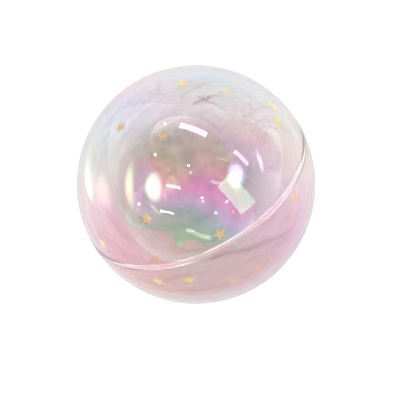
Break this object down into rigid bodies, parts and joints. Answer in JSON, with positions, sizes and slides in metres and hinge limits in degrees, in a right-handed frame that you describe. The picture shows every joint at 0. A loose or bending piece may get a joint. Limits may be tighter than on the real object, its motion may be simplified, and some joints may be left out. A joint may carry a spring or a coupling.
{
  "type": "clear filled snap ball",
  "caption": "Clear two-part snap ball with an iridescent sheen, filled with pink net and gold star foils that hug its wall.",
  "frame": {"origin": "centre of the ball, in the middle of the seam between its halves", "axes": "+Z along the axis that the two halves part on, upper half above; -Y towards the side that the filling's mouth faces"},
  "size_m": [0.0602, 0.0602, 0.06],
  "materials": {
    "clear_shell": "clear, polished, with an iridescent coat",
    "pink_tulle": "fine soft net",
    "gold_foil": "metallised foil"
  },
  "bodies": {
    "lower_half": {"lower_half": "clear_shell"},
    "filling": {"tulle_wrap": "pink_tulle", "tulle_lining": "pink_tulle", "tulle_back_patch": "pink_tulle", "star_foil_01": "gold_foil", "star_foil_02": "gold_foil", "star_foil_03": "gold_foil", "star_foil_04": "gold_foil", "star_foil_05": "gold_foil", "star_foil_06": "gold_foil", "star_foil_07": "gold_foil", "star_foil_08": "gold_foil", "star_foil_09": "gold_foil", "star_foil_10": "gold_foil", "star_foil_11": "gold_foil", "star_foil_12": "gold_foil", "star_foil_13": "gold_foil", "star_foil_14": "gold_foil", "star_foil_15": "gold_foil", "star_foil_16": "gold_foil", "star_foil_17": "gold_foil", "star_foil_18": "gold_foil", "star_foil_19": "gold_foil", "star_foil_20": "gold_foil", "star_foil_21": "gold_foil", "star_foil_22": "gold_foil", "star_foil_23": "gold_foil", "star_foil_24": "gold_foil", "star_foil_25": "gold_foil", "star_foil_26": "gold_foil", "star_foil_27": "gold_foil", "star_foil_28": "gold_foil", "star_foil_29": "gold_foil", "star_foil_30": "gold_foil", "star_foil_31": "gold_foil", "star_foil_32": "gold_foil", "star_foil_33": "gold_foil", "star_foil_34": "gold_foil", "star_foil_35": "gold_foil", "star_foil_36": "gold_foil", "star_foil_37": "gold_foil", "star_foil_38": "gold_foil", "star_foil_39": "gold_foil", "star_foil_40": "gold_foil", "star_foil_41": "gold_foil", "star_foil_42": "gold_foil", "star_foil_43": "gold_foil", "star_foil_44": "gold_foil"},
    "upper_half": {"upper_half": "clear_shell"}
  },
  "joints": [
    {"name": "twist", "type": "hinge", "parent": "lower_half", "child": "filling", "pos_m": [0, 0, 0], "axis": [0, 0, 1], "continuous": true},
    {"name": "lift", "type": "slide", "parent": "filling", "child": "upper_half", "axis": [0, 0, 1], "range_m": [0, 0.04]}
  ]
}
